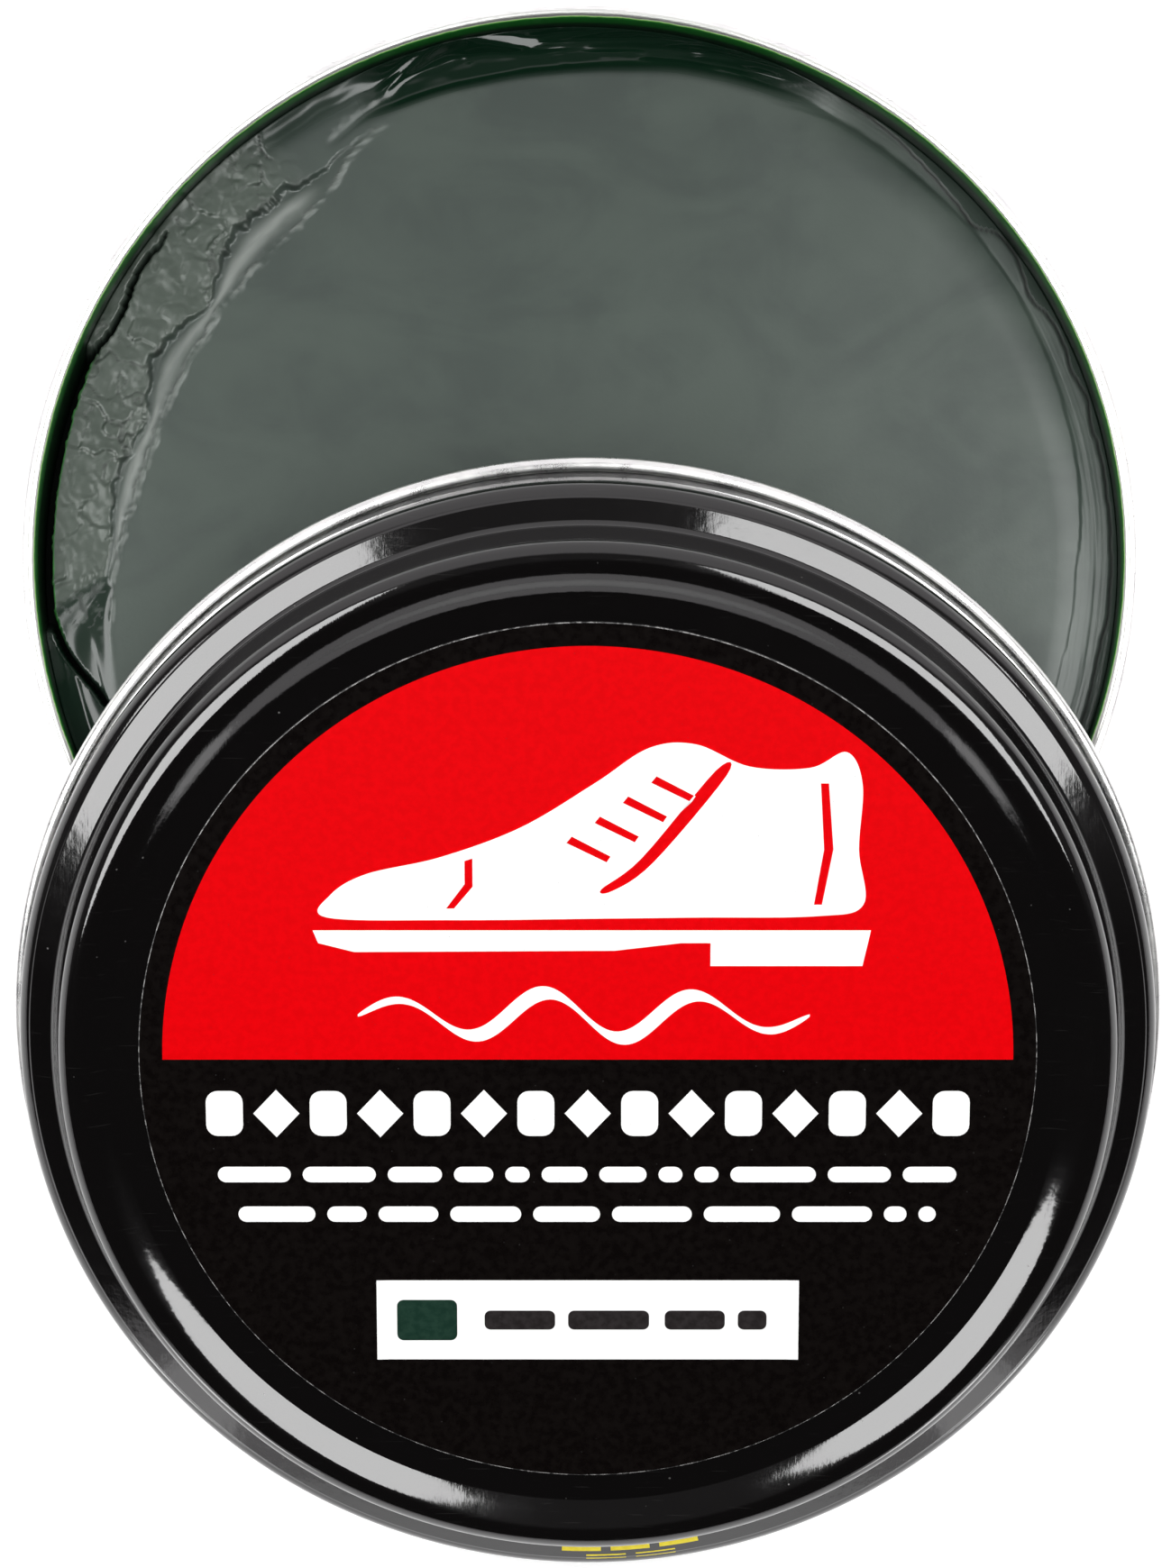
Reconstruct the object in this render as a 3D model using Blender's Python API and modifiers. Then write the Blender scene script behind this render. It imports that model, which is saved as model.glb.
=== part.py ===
"""A round shoe polish tin, open: the base can with its wax cake stands on a flat surface, and the slip lid
leans on it, with the lid's near edge on the surface and its curl across the can's rim at two places.

Frame: metres, +Z up, origin at the centre of the can's flat underside, the lid towards -Y.
Every metal piece is one turned profile of thin tinplate, swept round by a Screw modifier.
"""

import math

import bpy

MM = 0.001

# Sheet and sweep
SHEET = 0.25 * MM          # tinplate thickness
STEPS = 60                 # facets round every turned piece
MERGE = 0.00001            # Screw merge distance, only for the points on the axis

# Base can, upright on the surface
CAN_HEIGHT = 21.8 * MM     # underside to the top of the rolled rim
CAN_RIM_R = 43.0 * MM      # outside of the rolled rim
CAN_OPENING_R = 42.0 * MM  # mouth, and the inside of the wall
CAN_CURL_R = 0.5 * MM      # radius of the roll's section
CAN_CORNER_R = 1.6 * MM    # outer radius between the wall and the underside
CAN_BEAD_R = 36.6 * MM     # middle of the shallow stiffening bead in the underside
CAN_BEAD_HALF = 0.9 * MM   # half of the bead's width
CAN_BEAD_RISE = 0.5 * MM   # how far the bead is pushed up into the can

# Wax cake, cast in the can and shrunk a little from its wall
WAX_R = 41.5 * MM
WAX_UNDERSIDE_Z = 1.1 * MM
WAX_TOP_Z = 18.4 * MM      # height of the flat middle
WAX_FLAT_R = 37.6 * MM     # where the flat middle ends
WAX_GUTTER_DROP = 0.45 * MM
WAX_FILLET_R = 0.9 * MM    # rounded outer edge of the top

# Slip lid, in its own frame: z = 0 at the bottom of the curl, axis up
LID_CURL_OUTER_R = 44.3 * MM
LID_CURL_R = 0.55 * MM     # radius of the rolled curl's section
LID_SKIRT_R = 43.45 * MM   # outside of the skirt
LID_SHOULDER_Z = 4.7 * MM  # where the skirt starts to turn in
LID_LEDGE_Z = 6.8 * MM     # top of the ledge that sits on the can's rim when the tin is closed
LID_LEDGE_R = 41.3 * MM    # inner edge of the ledge
LID_STEP_R = 40.25 * MM    # outside of the step wall, at its top
LID_CREST_Z = 10.6 * MM    # highest line of the lid
LID_CREST_R = 39.4 * MM    # radius of that line
LID_PANEL_Z = 9.7 * MM     # top of the flat panel that carries the label
LID_PANEL_R = 34.9 * MM    # edge of the flat panel

# Paper pieces on the lid's panel
LABEL_R = 34.0 * MM
LABEL_THICKNESS = 0.14 * MM
LABEL_GAP = 0.08 * MM      # glue line under the label
STICKER_WIDTH = 32.3 * MM
STICKER_DEPTH = 6.5 * MM
STICKER_THICKNESS = 0.10 * MM
STICKER_GAP = 0.05 * MM
STICKER_Y = -21.0 * MM     # centre of the sticker, towards the near edge
STICKER_CORNER_R = 0.25 * MM

# How the lid leans
LEAN = math.radians(20.6)
LID_SIDE = 0.65 * MM       # how far the lid sits to the right of the can's middle
REST_GAP = 0.3 * MM        # kept between the lid's curl and the can's rim where they cross

COLLECTION = "shoe_polish_tin"


def clear_scene():
    for old in list(bpy.data.objects):
        bpy.data.objects.remove(old, do_unlink=True)


def new_collection(name):
    collection = bpy.data.collections.new(name)
    bpy.context.scene.collection.children.link(collection)
    return collection


def principled(name, colour, roughness, metallic=0.0):
    material = bpy.data.materials.new(name)
    material.use_nodes = True
    shader = material.node_tree.nodes["Principled BSDF"]
    shader.inputs["Base Color"].default_value = (*colour, 1.0)
    shader.inputs["Roughness"].default_value = roughness
    shader.inputs["Metallic"].default_value = metallic
    material.diffuse_color = (*colour, 1.0)
    return material


def arc(centre_r, centre_z, radius, start_deg, end_deg, points):
    """Points (r, z) along an arc; 0 degrees points away from the axis and 90 degrees points up."""
    found = []
    for i in range(points):
        angle = math.radians(start_deg + (end_deg - start_deg) * i / (points - 1))
        found.append((centre_r + radius * math.cos(angle), centre_z + radius * math.sin(angle)))
    return found


def turned(name, profile, material, collection):
    """One closed solid from a profile of (r, z) points that starts and ends on the axis, outer side downwards."""
    mesh = bpy.data.meshes.new(name)
    edges = [(i, i + 1) for i in range(len(profile) - 1)]
    mesh.from_pydata([(r, 0.0, z) for r, z in profile], edges, [])
    mesh.materials.append(material)
    piece = bpy.data.objects.new(name, mesh)
    collection.objects.link(piece)
    screw = piece.modifiers.new("Sweep", "SCREW")
    screw.axis = "Z"
    screw.angle = math.tau
    screw.steps = STEPS
    screw.render_steps = STEPS
    screw.use_smooth_shade = True
    screw.use_merge_vertices = True
    screw.merge_threshold = MERGE
    return piece


def bead(middle_r, base_z, direction):
    """A shallow rounded bead in a flat floor, from its inner edge out (direction 1) or back in (-1)."""
    shape = [(-1.0, 0.0), (-0.4, 1.0), (0.4, 1.0), (1.0, 0.0)]
    return [(middle_r + x * CAN_BEAD_HALF, base_z + z * CAN_BEAD_RISE) for x, z in shape[::direction]]


def base_can(collection, material):
    """Drawn can: floor with a stiffening bead, plain wall, and a rim rolled outwards and down."""
    wall_outer_r = CAN_OPENING_R + SHEET
    curl_r = CAN_RIM_R - CAN_CURL_R
    curl_z = CAN_HEIGHT - CAN_CURL_R
    corner_r = wall_outer_r - CAN_CORNER_R
    profile = [(0.0, SHEET)]
    profile += bead(CAN_BEAD_R, SHEET, 1)
    profile += arc(corner_r, CAN_CORNER_R, CAN_CORNER_R - SHEET, -90.0, 0.0, 4)
    profile += arc(curl_r, curl_z, CAN_CURL_R, 180.0, -105.0, 9)
    profile += arc(curl_r, curl_z, CAN_CURL_R - SHEET, -105.0, 180.0, 7)
    profile += arc(corner_r, CAN_CORNER_R, CAN_CORNER_R, 0.0, -90.0, 4)
    profile += bead(CAN_BEAD_R, 0.0, -1)
    profile += [(0.0, 0.0)]
    return turned("base_can", profile, material, collection)


def wax_cake(collection, material):
    """Cast cake: flat middle, a shallow gutter round it and a rounded outer edge."""
    gutter_r = (WAX_FLAT_R + WAX_R) / 2.0
    edge_r = WAX_R - WAX_FILLET_R
    edge_z = WAX_TOP_Z - WAX_FILLET_R
    profile = [(0.0, WAX_TOP_Z), (WAX_FLAT_R, WAX_TOP_Z)]
    profile += [(gutter_r, WAX_TOP_Z - WAX_GUTTER_DROP)]
    profile += arc(edge_r, edge_z, WAX_FILLET_R, 80.0, 0.0, 5)
    profile += [(WAX_R, WAX_UNDERSIDE_Z + CAN_CORNER_R), (WAX_R - CAN_CORNER_R, WAX_UNDERSIDE_Z)]
    profile += [(0.0, WAX_UNDERSIDE_Z)]
    return turned("wax_cake", profile, material, collection)


def lid_outer_line():
    """Outside of the lid from the panel's edge to the skirt, as (r, z) points."""
    crest_r = 0.85 * MM
    foot_r = 0.6 * MM
    shoulder_r = LID_SKIRT_R - LID_LEDGE_R
    ledge_drop = 0.35 * MM
    line = [(LID_PANEL_R, LID_PANEL_Z)]
    line += arc(LID_CREST_R, LID_CREST_Z - crest_r, crest_r, 115.0, 10.0, 6)
    line += arc(LID_STEP_R + foot_r + 0.25 * MM, LID_LEDGE_Z + foot_r, foot_r, 190.0, 265.0, 4)
    points = 5
    for i in range(points):
        angle = math.radians(75.0 * (1.0 - i / (points - 1)))
        drop = LID_LEDGE_Z - ledge_drop - LID_SHOULDER_Z
        line.append((LID_LEDGE_R + shoulder_r * math.cos(angle), LID_SHOULDER_Z + drop * math.sin(angle)))
    return line


def inner_line(outer, thickness):
    """The same line moved inwards by the sheet's thickness, along each point's normal."""
    found = []
    for i, (r, z) in enumerate(outer):
        before = outer[max(i - 1, 0)]
        after = outer[min(i + 1, len(outer) - 1)]
        along_r = after[0] - before[0]
        along_z = after[1] - before[1]
        length = math.hypot(along_r, along_z)
        found.append((r + thickness * along_z / length, z - thickness * along_r / length))
    return found


def lid_shell(collection, material):
    """Pressed lid: label panel, raised rim round it, step down to the ledge, skirt, and an outward curl."""
    outer = lid_outer_line()
    inner = inner_line(outer[1:-1], SHEET)
    curl_centre_r = LID_CURL_OUTER_R - LID_CURL_R
    profile = [(0.0, LID_PANEL_Z)] + outer
    profile += arc(curl_centre_r, LID_CURL_R, LID_CURL_R - SHEET, 180.0, 465.0, 7)
    profile += arc(curl_centre_r, LID_CURL_R, LID_CURL_R, 465.0, 180.0, 9)
    profile += [(LID_SKIRT_R - SHEET, LID_SHOULDER_Z)]
    profile += inner[::-1]
    profile += [(LID_PANEL_R, LID_PANEL_Z - SHEET), (0.0, LID_PANEL_Z - SHEET)]
    return turned("lid_shell", profile, material, collection)


def lid_label(collection, material):
    """Round printed label, stuck to the flat panel."""
    low = LID_PANEL_Z + LABEL_GAP
    high = low + LABEL_THICKNESS
    profile = [(0.0, high), (LABEL_R, high), (LABEL_R, low), (0.0, low)]
    return turned("lid_label", profile, material, collection)


def shade_sticker(collection, material):
    """Small rectangular paper sticker across the near part of the label."""
    low = LID_PANEL_Z + LABEL_GAP + LABEL_THICKNESS + STICKER_GAP
    bpy.ops.mesh.primitive_cube_add(size=1.0, location=(0.0, 0.0, 0.0))
    piece = bpy.context.active_object
    piece.name = "shade_sticker"
    for vertex in piece.data.vertices:
        vertex.co.x *= STICKER_WIDTH
        vertex.co.y *= STICKER_DEPTH
        vertex.co.z *= STICKER_THICKNESS
    piece.location = (0.0, STICKER_Y, low + STICKER_THICKNESS / 2.0)
    piece.data.materials.append(material)
    for holder in list(piece.users_collection):
        holder.objects.unlink(piece)
    collection.objects.link(piece)
    weights = piece.data.attributes.new("bevel_weight_edge", "FLOAT", "EDGE")
    for edge in piece.data.edges:
        ends = [piece.data.vertices[i].co for i in edge.vertices]
        if abs(ends[0].z - ends[1].z) > STICKER_THICKNESS / 2.0:
            weights.data[edge.index].value = 1.0
    bevel = piece.modifiers.new("Corners", "BEVEL")
    bevel.limit_method = "WEIGHT"
    bevel.width = STICKER_CORNER_R
    bevel.segments = 3
    return piece


def lid_place(back):
    """Where the lid's own origin is when it leans with its curl on the surface, this far towards -Y."""
    near_r = LID_CURL_OUTER_R - LID_CURL_R
    height = near_r * math.sin(LEAN) + LID_CURL_R * (1.0 - math.cos(LEAN))
    return (LID_SIDE, -back, height)


def curl_gap(back):
    """Smallest gap between the lid's curl and the can's rolled rim, both taken as round rings."""
    samples = 720
    curl_r = LID_CURL_OUTER_R - LID_CURL_R
    rim_r = CAN_RIM_R - CAN_CURL_R
    rim_z = CAN_HEIGHT - CAN_CURL_R
    middle_y = lid_place(back)[1] - LID_CURL_R * math.sin(LEAN)
    middle_z = lid_place(back)[2] + LID_CURL_R * math.cos(LEAN)
    nearest = CAN_RIM_R
    for i in range(samples):
        turn = math.tau * i / samples
        x = LID_SIDE + curl_r * math.cos(turn)
        y = middle_y + curl_r * math.sin(turn) * math.cos(LEAN)
        z = middle_z + curl_r * math.sin(turn) * math.sin(LEAN)
        nearest = min(nearest, math.hypot(math.hypot(x, y) - rim_r, z - rim_z))
    return nearest - LID_CURL_R - CAN_CURL_R


def lean_back():
    """How far towards -Y the lid sits: slid in until its curl is one rest gap from the rim."""
    close = CAN_RIM_R / 2.0
    far = CAN_RIM_R
    for _ in range(40):
        middle = (close + far) / 2.0
        if curl_gap(middle) > REST_GAP:
            far = middle
        else:
            close = middle
    return far


def lean_lid(pieces, collection):
    """Parents the lid's pieces to one empty that holds the lean and slides with them."""
    pose = bpy.data.objects.new("lid_pose", None)
    pose.empty_display_size = 0.02
    pose.location = lid_place(lean_back())
    pose.rotation_euler = (LEAN, 0.0, 0.0)
    collection.objects.link(pose)
    for piece in pieces:
        piece.parent = pose


def main():
    clear_scene()
    tin = new_collection(COLLECTION)
    tinplate = principled("bare_tinplate", (0.78, 0.78, 0.76), 0.28, 1.0)
    lacquer = principled("black_lacquer", (0.006, 0.006, 0.007), 0.16)
    wax = principled("green_wax", (0.075, 0.098, 0.085), 0.42)
    print_film = principled("printed_label", (0.70, 0.004, 0.010), 0.38)
    paper = principled("white_paper", (0.90, 0.90, 0.89), 0.55)
    base_can(tin, tinplate)
    wax_cake(tin, wax)
    lid_pieces = [
        lid_shell(tin, lacquer),
        lid_label(tin, print_film),
        shade_sticker(tin, paper),
    ]
    lean_lid(lid_pieces, tin)


main()
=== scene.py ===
import math

import bmesh
import bpy
import numpy as np
from mathutils import Matrix, Vector


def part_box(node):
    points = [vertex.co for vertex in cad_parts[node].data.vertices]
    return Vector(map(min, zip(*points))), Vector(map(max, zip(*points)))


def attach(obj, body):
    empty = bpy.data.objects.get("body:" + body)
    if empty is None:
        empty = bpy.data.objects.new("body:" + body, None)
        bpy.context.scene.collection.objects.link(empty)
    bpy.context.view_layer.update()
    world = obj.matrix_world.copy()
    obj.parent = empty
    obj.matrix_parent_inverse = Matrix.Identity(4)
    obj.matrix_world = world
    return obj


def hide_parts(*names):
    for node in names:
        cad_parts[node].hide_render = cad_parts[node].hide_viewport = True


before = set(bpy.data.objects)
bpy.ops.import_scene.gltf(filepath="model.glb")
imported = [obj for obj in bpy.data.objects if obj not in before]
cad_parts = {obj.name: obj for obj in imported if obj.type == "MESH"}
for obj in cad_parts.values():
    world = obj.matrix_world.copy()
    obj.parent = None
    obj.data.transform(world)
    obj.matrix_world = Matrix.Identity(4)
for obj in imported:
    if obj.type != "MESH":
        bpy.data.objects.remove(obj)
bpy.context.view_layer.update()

MM = 0.001
FINE = 288                 # facets round the turned pieces
SHEET = 0.25 * MM

# ---------------- places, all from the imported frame
CAN_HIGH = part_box("base_can")[1]
WAX_LOW, WAX_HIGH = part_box("wax_cake")
CAN_RIM_R = CAN_HIGH.x
CAN_HEIGHT = CAN_HIGH.z
WAX_TOP = WAX_HIGH.z
LABEL_MIDDLE_UP = 9.85 * MM   # from the bottom of the lid's curl to the middle of the label's thickness


def lid_matrix():
    """The lid's own frame: origin at the middle of the plane under its curl, +Z out of the label."""
    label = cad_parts["lid_label"]
    face = max(label.data.polygons, key=lambda p: p.normal.z * p.area)
    up = face.normal.normalized()
    low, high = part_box("lid_label")
    middle = (low + high) / 2.0
    along = Vector((1.0, 0.0, 0.0))
    back = up.cross(along).normalized()
    turn = Matrix((along, back, up)).transposed().to_4x4()
    return Matrix.Translation(middle - up * LABEL_MIDDLE_UP) @ turn


LID = lid_matrix()

# ---------------- lid outline, in the lid's frame
CURL_R = 0.60 * MM
SKIRT_R = 43.45 * MM
CURL_MIDDLE_R = SKIRT_R - SHEET + CURL_R
LACQUER_LOW = 1.20 * MM    # the lacquer stops here, above the curl
RUBBED_HIGH = 3.30 * MM    # below this the lacquer is rubbed matt by the curling tool
LEDGE_OUT_R = 42.45 * MM   # a slight crease follows, then the shoulder
LEDGE_TILT = 23.0          # how far the ledge's face tips outwards, degrees
CREASE_STEEP = 46.0
CREASE_SOFT = 27.0
FOOT_R = 0.70 * MM         # rounding between step and ledge
LEDGE_IN_R = 41.25 * MM
LEDGE_IN_Z = 6.80 * MM
PANEL_Z = 9.68 * MM
PANEL_R = 35.95 * MM       # the flat panel ends here
PANEL_FILLET = 0.42 * MM
RISE_SOFT = 25.0           # slope where the rise leaves the panel and where it meets the crest, degrees
RISE_STEEP = 32.0          # slope half way up the rise
RISE_R = 7.4 * MM
CREST_IN_R = 2.0 * MM      # rounding of the crest towards the label
CREST_OUT_R = 1.5 * MM     # rounding of the crest towards the step
STEP_SLOPE = 82.0
LABEL_R = 33.9 * MM
LABEL_LOW = 9.70 * MM
LABEL_HIGH = 9.86 * MM
INK = 0.012 * MM           # thickness of a printed layer


# ---------------- small mesh helpers
def place(piece, matrix=None):
    """Puts a piece in the scene; materials read its own untilted coordinates from the attribute "spot"."""
    mesh = piece.data
    own = np.zeros(len(mesh.vertices) * 3, np.float32)
    mesh.vertices.foreach_get("co", own)
    spots = mesh.attributes.new("spot", "FLOAT_VECTOR", "POINT")
    spots.data.foreach_set("vector", own)
    if matrix is not None:
        mesh.transform(matrix)
    bpy.context.scene.collection.objects.link(piece)
    return piece


def mesh_piece(name, points, faces, materials, slots=None, sharp=35.0, matrix=None):
    mesh = bpy.data.meshes.new(name)
    mesh.from_pydata([tuple(p) for p in points], [], [tuple(int(i) for i in f) for f in faces])
    for material in materials:
        mesh.materials.append(material)
    if slots is not None:
        mesh.polygons.foreach_set("material_index", np.asarray(slots, np.int32))
    mesh.update()
    mesh.shade_smooth()
    if sharp is not None:
        mesh.set_sharp_from_angle(angle=math.radians(sharp))
    return place(bpy.data.objects.new(name, mesh), matrix)


def arc(centre_r, centre_z, radius, start, end, points):
    angles = np.radians(np.linspace(start, end, points))
    return [(centre_r + radius * math.cos(a), centre_z + radius * math.sin(a)) for a in angles]


def lathe(name, profile, materials, slots, matrix=None, wobble=None):
    """A turned piece from (r, z) points on the axis, along the outline, and back to the axis.

    slots gives the material of each stretch; wobble(r, z, turn) moves the ring points.
    """
    turn = np.arange(FINE) * (math.tau / FINE)
    points, rings, faces, face_slots = [], [], [], []
    for r, z in profile:
        if r < 1e-7:
            rings.append([len(points)] * FINE)
            points.append((0.0, 0.0, z))
            continue
        rings.append(list(range(len(points), len(points) + FINE)))
        radius, height = np.full(FINE, r), np.full(FINE, z)
        if wobble is not None:
            radius, height = wobble(radius, height, turn)
        points += list(zip(radius * np.cos(turn), radius * np.sin(turn), height))
    for upper, lower, slot in zip(rings, rings[1:], slots):
        for j in range(FINE):
            k = (j + 1) % FINE
            corners = [upper[j], lower[j], lower[k], upper[k]]
            faces.append(tuple(dict.fromkeys(corners)))
            face_slots.append(slot)
    return mesh_piece(name, points, faces, materials, face_slots, matrix=matrix)


def offset_line(line, thickness):
    """An open line of (r, z) points moved to its right by the sheet's thickness."""
    pts = np.array(line)
    along = np.gradient(pts, axis=0)
    along /= np.linalg.norm(along, axis=1)[:, None]
    return [(r + thickness * a[1], z - thickness * a[0]) for (r, z), a in zip(pts, along)]


# ---------------- repeatable noise for shapes
def lattice(ix, iy, seed):
    n = (ix.astype(np.int64) * 374761393 + iy.astype(np.int64) * 668265263 + seed * 974634777) & 0xFFFFFFFF
    n = ((n ^ (n >> 13)) * 1274126177) & 0xFFFFFFFF
    n = n ^ (n >> 16)
    return (n & 0xFFFFFF) / float(0x1000000)


def value_noise(x, y, seed):
    ix, iy = np.floor(x), np.floor(y)
    fx, fy = x - ix, y - iy
    fx = fx * fx * (3.0 - 2.0 * fx)
    fy = fy * fy * (3.0 - 2.0 * fy)
    low = lattice(ix, iy, seed) * (1 - fx) + lattice(ix + 1, iy, seed) * fx
    high = lattice(ix, iy + 1, seed) * (1 - fx) + lattice(ix + 1, iy + 1, seed) * fx
    return (low * (1 - fy) + high * fy) * 2.0 - 1.0


def fractal(x, y, seed, octaves=4, gain=0.5):
    total = np.zeros_like(x)
    size = 1.0
    for k in range(octaves):
        total += size * value_noise(x * 2.0 ** k, y * 2.0 ** k, seed + 17 * k)
        size *= gain
    return total


def ripple(turn, size, seed, octaves):
    """Noise that changes only round the can, in waves of about size degrees."""
    return fractal(turn / size, np.zeros_like(turn), seed, octaves)


def plates(x, y, seed):
    """Irregular cells: the distance to a cell's border, and the height of the cell's tilted face."""
    first = np.full_like(x, 9.0)
    second = np.full_like(x, 9.0)
    tilt = np.zeros_like(x)
    ix, iy = np.floor(x), np.floor(y)
    for dx in (-1, 0, 1):
        for dy in (-1, 0, 1):
            cx, cy = ix + dx, iy + dy
            px = cx + lattice(cx, cy, seed)
            py = cy + lattice(cx, cy, seed + 5)
            lean = (lattice(cx, cy, seed + 11) - 0.5) * (x - px)
            lean += (lattice(cx, cy, seed + 13) - 0.5) * (y - py)
            d = np.hypot(px - x, py - y)
            tilt = np.where(d < first, lean, tilt)
            second = np.minimum(second, np.maximum(first, d))
            first = np.minimum(first, d)
    return second - first, tilt


def step(low, high, x):
    t = np.clip((x - low) / (high - low), 0.0, 1.0)
    return t * t * (3.0 - 2.0 * t)


def bump_at(x, middle, half):
    return np.exp(-(((x - middle) / half) ** 2))


# ---------------- material helpers
def new_material(name):
    material = bpy.data.materials.new(name)
    material.use_nodes = True
    return material, material.node_tree, material.node_tree.nodes["Principled BSDF"]


def feed(tree, socket, value):
    if isinstance(value, bpy.types.NodeSocket):
        tree.links.new(value, socket)
    else:
        socket.default_value = value


def dress(tree, shader, tone, rough, normal=None):
    """Feeds the shader's colour, roughness and surface relief."""
    feed(tree, shader.inputs["Base Color"], tone)
    feed(tree, shader.inputs["Roughness"], rough)
    if normal is not None:
        feed(tree, shader.inputs["Normal"], normal)


def coords(tree, scale=(1.0, 1.0, 1.0), turn=(0.0, 0.0, 0.0)):
    source = tree.nodes.new("ShaderNodeAttribute")
    source.attribute_name = "spot"
    mapping = tree.nodes.new("ShaderNodeMapping")
    mapping.inputs["Scale"].default_value = scale
    mapping.inputs["Rotation"].default_value = turn
    tree.links.new(source.outputs["Vector"], mapping.inputs["Vector"])
    return mapping.outputs["Vector"]


def noise(tree, vector, scale, detail=4.0, rough=0.5, distortion=0.0):
    """Soft noise over the vector, or over the piece's own coordinates."""
    made = tree.nodes.new("ShaderNodeTexNoise")
    feed(tree, made.inputs["Vector"], coords(tree) if vector is None else vector)
    made.inputs["Scale"].default_value = scale
    made.inputs["Detail"].default_value = detail
    made.inputs["Roughness"].default_value = rough
    made.inputs["Distortion"].default_value = distortion
    return made.outputs["Fac"]


def specks(tree, scale, size):
    """1 in small scattered dots, 0 elsewhere."""
    made = tree.nodes.new("ShaderNodeTexVoronoi")
    feed(tree, made.inputs["Vector"], coords(tree))
    made.inputs["Scale"].default_value = scale
    return spread(tree, made.outputs["Distance"], size, size * 0.5)


def calc(tree, operation, a, b=0.0):
    made = tree.nodes.new("ShaderNodeMath")
    made.operation = operation
    feed(tree, made.inputs[0], a)
    feed(tree, made.inputs[1], b)
    return made.outputs["Value"]


def add(tree, a, b):
    return calc(tree, "ADD", a, b)


def mul(tree, a, b):
    return calc(tree, "MULTIPLY", a, b)


def spread(tree, value, low, high, to_low=0.0, to_high=1.0):
    """Maps low..high to to_low..to_high with soft ends."""
    made = tree.nodes.new("ShaderNodeMapRange")
    made.interpolation_type = "SMOOTHSTEP"
    feed(tree, made.inputs["Value"], value)
    for socket, number in zip(("From Min", "From Max", "To Min", "To Max"), (low, high, to_low, to_high)):
        made.inputs[socket].default_value = number
    return made.outputs["Result"]


def blend_colour(tree, share, a, b):
    made = tree.nodes.new("ShaderNodeMix")
    made.data_type = "RGBA"
    feed(tree, made.inputs["Factor"], share)
    for socket, value in ((made.inputs[6], a), (made.inputs[7], b)):
        if not isinstance(value, bpy.types.NodeSocket):
            value = (*value, 1.0)
        feed(tree, socket, value)
    return made.outputs[2]


def blend_value(tree, share, a, b):
    made = tree.nodes.new("ShaderNodeMix")
    made.data_type = "FLOAT"
    feed(tree, made.inputs[0], share)
    feed(tree, made.inputs[2], a)
    feed(tree, made.inputs[3], b)
    return made.outputs[0]


def relief(tree, height, distance, strength=1.0, under=None):
    made = tree.nodes.new("ShaderNodeBump")
    made.inputs["Strength"].default_value = strength
    made.inputs["Distance"].default_value = distance
    feed(tree, made.inputs["Height"], height)
    if under is not None:
        feed(tree, made.inputs["Normal"], under)
    return made.outputs["Normal"]


def attribute(tree, name):
    made = tree.nodes.new("ShaderNodeAttribute")
    made.attribute_name = name
    return made.outputs["Fac"]


def split(tree, vector):
    made = tree.nodes.new("ShaderNodeSeparateXYZ")
    tree.links.new(vector, made.inputs[0])
    return made.outputs


# ---------------- materials
def tinplate(name, grain_turn=0.0, darkening=0.0, soft=0.0):
    """Bare rolled tinplate: grain, faint tarnish, small scratches; darkening lowers its tone and a negative
    value raises it, soft blurs its gloss.
    """
    material, tree, shader = new_material(name)
    grain = noise(tree, coords(tree, (9000.0, 420.0, 9000.0), (0.0, 0.0, grain_turn)), 1.0, 3.0, 0.6)
    cloud = noise(tree, None, 260.0, 5.0, 0.6)
    scratch = noise(tree, coords(tree, (260.0, 9000.0, 5000.0), (0.0, 0.0, 0.5)), 1.0, 2.0, 0.5)
    fine = spread(tree, scratch, 0.62, 0.70)
    tarnish = spread(tree, cloud, 0.25, 0.75)
    # The darkening shifts the whole tone: the can's outer wall uses it as painted shade, the can's rim a
    # negative value as painted highlight.
    high = 0.86 - darkening * 0.58
    tone = blend_colour(tree, tarnish, (0.74 - darkening * 0.52,) * 3, (high, high, high - 0.02))
    tone = blend_colour(tree, fine, tone, (0.62 - darkening * 0.3,) * 3)
    shader.inputs["Metallic"].default_value = 1.0
    rough = spread(tree, cloud, 0.3, 0.7, 0.20 + darkening * 0.15 + soft, 0.30 + darkening * 0.2 + soft)
    rough = add(tree, rough, mul(tree, grain, 0.08))
    dress(tree, shader, tone, rough, relief(tree, grain, 0.000006, 0.5))
    return material


def stained_tinplate():
    """The inside of the can: tinplate with a green wax film, bright where it thins out below the rim."""
    material, tree, shader = new_material("stained_tinplate")
    at = split(tree, coords(tree))
    squares = add(tree, mul(tree, at[0], at[0]), mul(tree, at[1], at[1]))
    out = calc(tree, "SQRT", squares)
    ragged = noise(tree, None, 700.0, 4.0, 0.6)
    shift = mul(tree, calc(tree, "SUBTRACT", ragged, 0.5), 0.00012)
    level = add(tree, calc(tree, "SUBTRACT", out, CAN_OPENING_R), shift)
    height = calc(tree, "SUBTRACT", at[2], CAN_HEIGHT)
    thin = spread(tree, height, -2.3 * MM, -1.0 * MM)
    edge = spread(tree, level, 0.05 * MM, 0.11 * MM)
    bare = spread(tree, level, 0.09 * MM, 0.17 * MM)
    film = blend_colour(tree, thin, (0.0020, 0.011, 0.004), (0.006, 0.112, 0.011))
    film = blend_colour(tree, edge, film, (0.30, 0.60, 0.14))
    tone = blend_colour(tree, bare, film, (0.80, 0.81, 0.78))
    feed(tree, shader.inputs["Metallic"], bare)
    rough = blend_value(tree, bare, 0.32, 0.30)
    dress(tree, shader, tone, rough, relief(tree, ragged, 0.00006, 0.4))
    return material


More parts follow.
